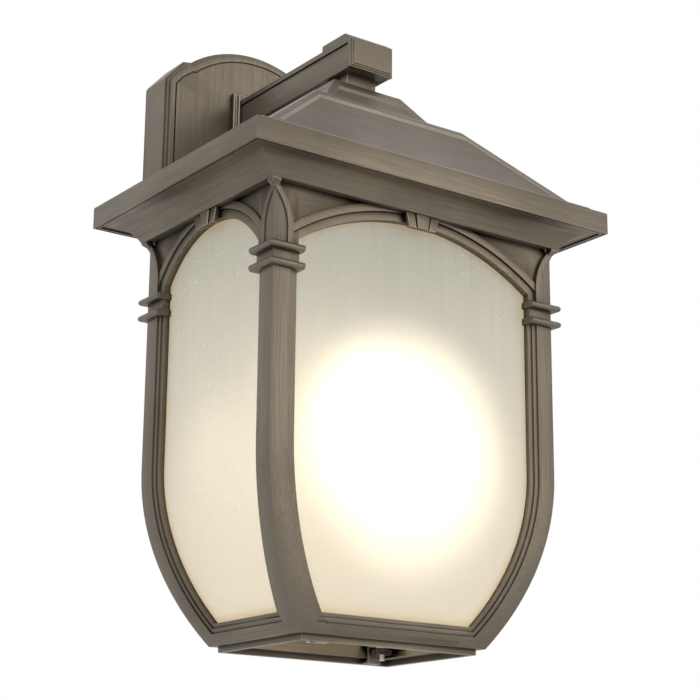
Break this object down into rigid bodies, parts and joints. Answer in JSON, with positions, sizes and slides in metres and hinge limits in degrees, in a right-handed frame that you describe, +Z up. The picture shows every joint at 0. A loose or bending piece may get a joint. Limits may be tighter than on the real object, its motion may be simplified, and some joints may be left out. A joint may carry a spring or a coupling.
{
  "type": "outdoor wall lantern",
  "caption": "Outdoor wall lantern: arched wall plate and short arm carrying a tapering four-sided frame with bent frosted glass under a hipped roof, open below for the screw-in bulb.",
  "frame": {"origin": "centre of the wall box's screw pattern, on the wall", "axes": "+X across the wall to the right as seen from the front, -Y away from the wall, +Z up"},
  "size_m": [0.28, 0.2518, 0.4523],
  "materials": {
    "bronze": "brushed antique bronze",
    "dark_bronze": "dark antique bronze",
    "rubber": "closed-cell foam",
    "zinc": "zinc plated",
    "ground_green": "green",
    "black_nut": "gloss black oxide",
    "frosted_glass": "seeded, etched inside",
    "porcelain": "white glazed",
    "brass": "plain",
    "bulb_shell": "bright",
    "bulb_glass": "soft white frosted",
    "wire_black": "insulated",
    "wire_white": "insulated",
    "wire_copper": "bare copper",
    "connector": "moulded"
  },
  "bodies": {
    "lantern": {"wall_gasket": "rubber", "mounting_bracket": "zinc", "ground_screw": "ground_green", "plate_screws": "dark_bronze", "back_plate": "bronze", "arm_collar": "bronze", "arm_bolts": "zinc", "arm": "bronze", "arm_lid": "bronze", "arm_lid_screws": "zinc", "arm_head": "bronze", "neck": "dark_bronze", "lamp_pipe": "zinc", "arm_lock_nut": "zinc", "roof_upper": "bronze", "roof_lower": "bronze", "cornice": "bronze", "roof_strap": "zinc", "strap_lock_nut": "zinc", "post_front_left": "bronze", "post_front_right": "bronze", "post_rear_left": "bronze", "post_rear_right": "bronze", "arch_front": "bronze", "arch_rear": "bronze", "arch_left": "bronze", "arch_right": "bronze", "keystone_front": "bronze", "keystone_rear": "bronze", "keystone_left": "bronze", "keystone_right": "bronze", "bottom_rail": "bronze", "base_ring": "bronze", "ring_stud_rear": "zinc", "ring_stud_front": "zinc", "glass_front": "frosted_glass", "glass_rear": "frosted_glass", "glass_left": "frosted_glass", "glass_right": "frosted_glass", "glass_clips": "zinc", "clip_screws": "zinc", "cage_screws": "zinc", "socket_cap": "zinc", "socket_body": "porcelain", "socket_shell": "brass", "socket_contact": "brass", "wire_black": "wire_black", "wire_white": "wire_white", "wire_ground": "wire_copper", "wire_connectors": "connector"},
    "bulb_feed": {"bulb_contact": "brass"},
    "bulb": {"bulb_base": "bulb_shell", "bulb_glass": "bulb_glass"},
    "washer_rear": {"ring_washer_rear": "zinc"},
    "nut_rear": {"thumb_nut_rear": "black_nut"},
    "washer_front": {"ring_washer_front": "zinc"},
    "nut_front": {"thumb_nut_front": "black_nut"}
  },
  "joints": [
    {"name": "bulb_travel", "type": "slide", "parent": "lantern", "child": "bulb_feed", "axis": [0, 0, -1], "range_m": [0, 0.01815]},
    {"name": "bulb_turn", "type": "hinge", "parent": "bulb_feed", "child": "bulb", "pos_m": [0, -0.152, -0.172], "axis": [0, 0, -1], "range_deg": [0, 1800]},
    {"name": "nut_travel_rear", "type": "slide", "parent": "lantern", "child": "washer_rear", "axis": [0, 0, -1], "range_m": [0, 0.0028]},
    {"name": "nut_turn_rear", "type": "hinge", "parent": "washer_rear", "child": "nut_rear", "pos_m": [0.0476, -0.125, -0.365], "axis": [0, 0, -1], "range_deg": [0, 1440]},
    {"name": "nut_travel_front", "type": "slide", "parent": "lantern", "child": "washer_front", "axis": [0, 0, -1], "range_m": [0, 0.0028]},
    {"name": "nut_turn_front", "type": "hinge", "parent": "washer_front", "child": "nut_front", "pos_m": [-0.0476, -0.179, -0.365], "axis": [0, 0, -1], "range_deg": [0, 1440]}
  ],
  "couplings": [
    {"joint": "bulb_turn", "follows": "bulb_travel", "rad_per_m": 1730.9},
    {"joint": "nut_turn_rear", "follows": "nut_travel_rear", "rad_per_m": 8976},
    {"joint": "nut_turn_front", "follows": "nut_travel_front", "rad_per_m": 8976}
  ]
}
